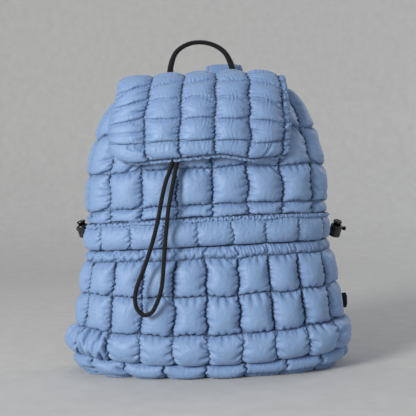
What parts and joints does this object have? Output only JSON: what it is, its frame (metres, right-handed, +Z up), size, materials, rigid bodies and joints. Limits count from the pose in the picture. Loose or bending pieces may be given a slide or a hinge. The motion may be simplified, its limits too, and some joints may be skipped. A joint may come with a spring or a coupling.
{
  "type": "quilted puffer backpack",
  "caption": "Soft quilted backpack with a padded flap over a gathered mouth, a drawn outer pocket, a drawcord, a carrying handle and two padded shoulder straps.",
  "frame": {"origin": "Middle of the base, on the surface that the bag stands on. +Z is up, -Y is the front with the flap and the drawcord, +X is the viewer's right.", "axes": "right-handed, +Z up, -Y front, +X right as seen from the front"},
  "size_m": [0.3755, 0.2289, 0.4297],
  "materials": {
    "quilted_nylon": "pale steel blue downproof nylon with a soft sheen, quilted in boxes",
    "lining_nylon": "thin blue nylon, gathered",
    "black_webbing": "black woven webbing",
    "black_plastic": "black moulded plastic, half gloss",
    "black_cord": "black braided cord"
  },
  "bodies": {
    "bag": {"base_panel": "quilted_nylon", "body_wrap": "quilted_nylon", "back_panel": "quilted_nylon", "pocket_wrap": "quilted_nylon", "pocket_band": "quilted_nylon", "flap": "quilted_nylon", "shoulder_strap_left": "quilted_nylon", "shoulder_strap_right": "quilted_nylon", "mouth_collar": "lining_nylon", "grab_handle": "black_webbing", "strap_webbing_left": "black_webbing", "strap_webbing_right": "black_webbing", "strap_anchor_left": "black_webbing", "strap_anchor_right": "black_webbing", "mouth_cord_lock": "black_plastic", "strap_adjuster_left": "black_plastic", "strap_adjuster_right": "black_plastic", "lock_barrel_left": "black_plastic", "lock_barrel_right": "black_plastic", "drawcord": "black_cord", "lock_cord_left": "black_cord", "lock_cord_right": "black_cord"},
    "plunger_left": {"lock_plunger_left": "black_plastic"},
    "plunger_right": {"lock_plunger_right": "black_plastic"}
  },
  "joints": [
    {"name": "plunger_press_left", "type": "slide", "parent": "bag", "child": "plunger_left", "axis": [0.2439, 0.1669, -0.9553], "range_m": [0, 0.003], "stiffness_N_per_m": 600},
    {"name": "plunger_press_right", "type": "slide", "parent": "bag", "child": "plunger_right", "axis": [-0.2203, 0.3431, -0.9131], "range_m": [0, 0.003], "stiffness_N_per_m": 600}
  ]
}
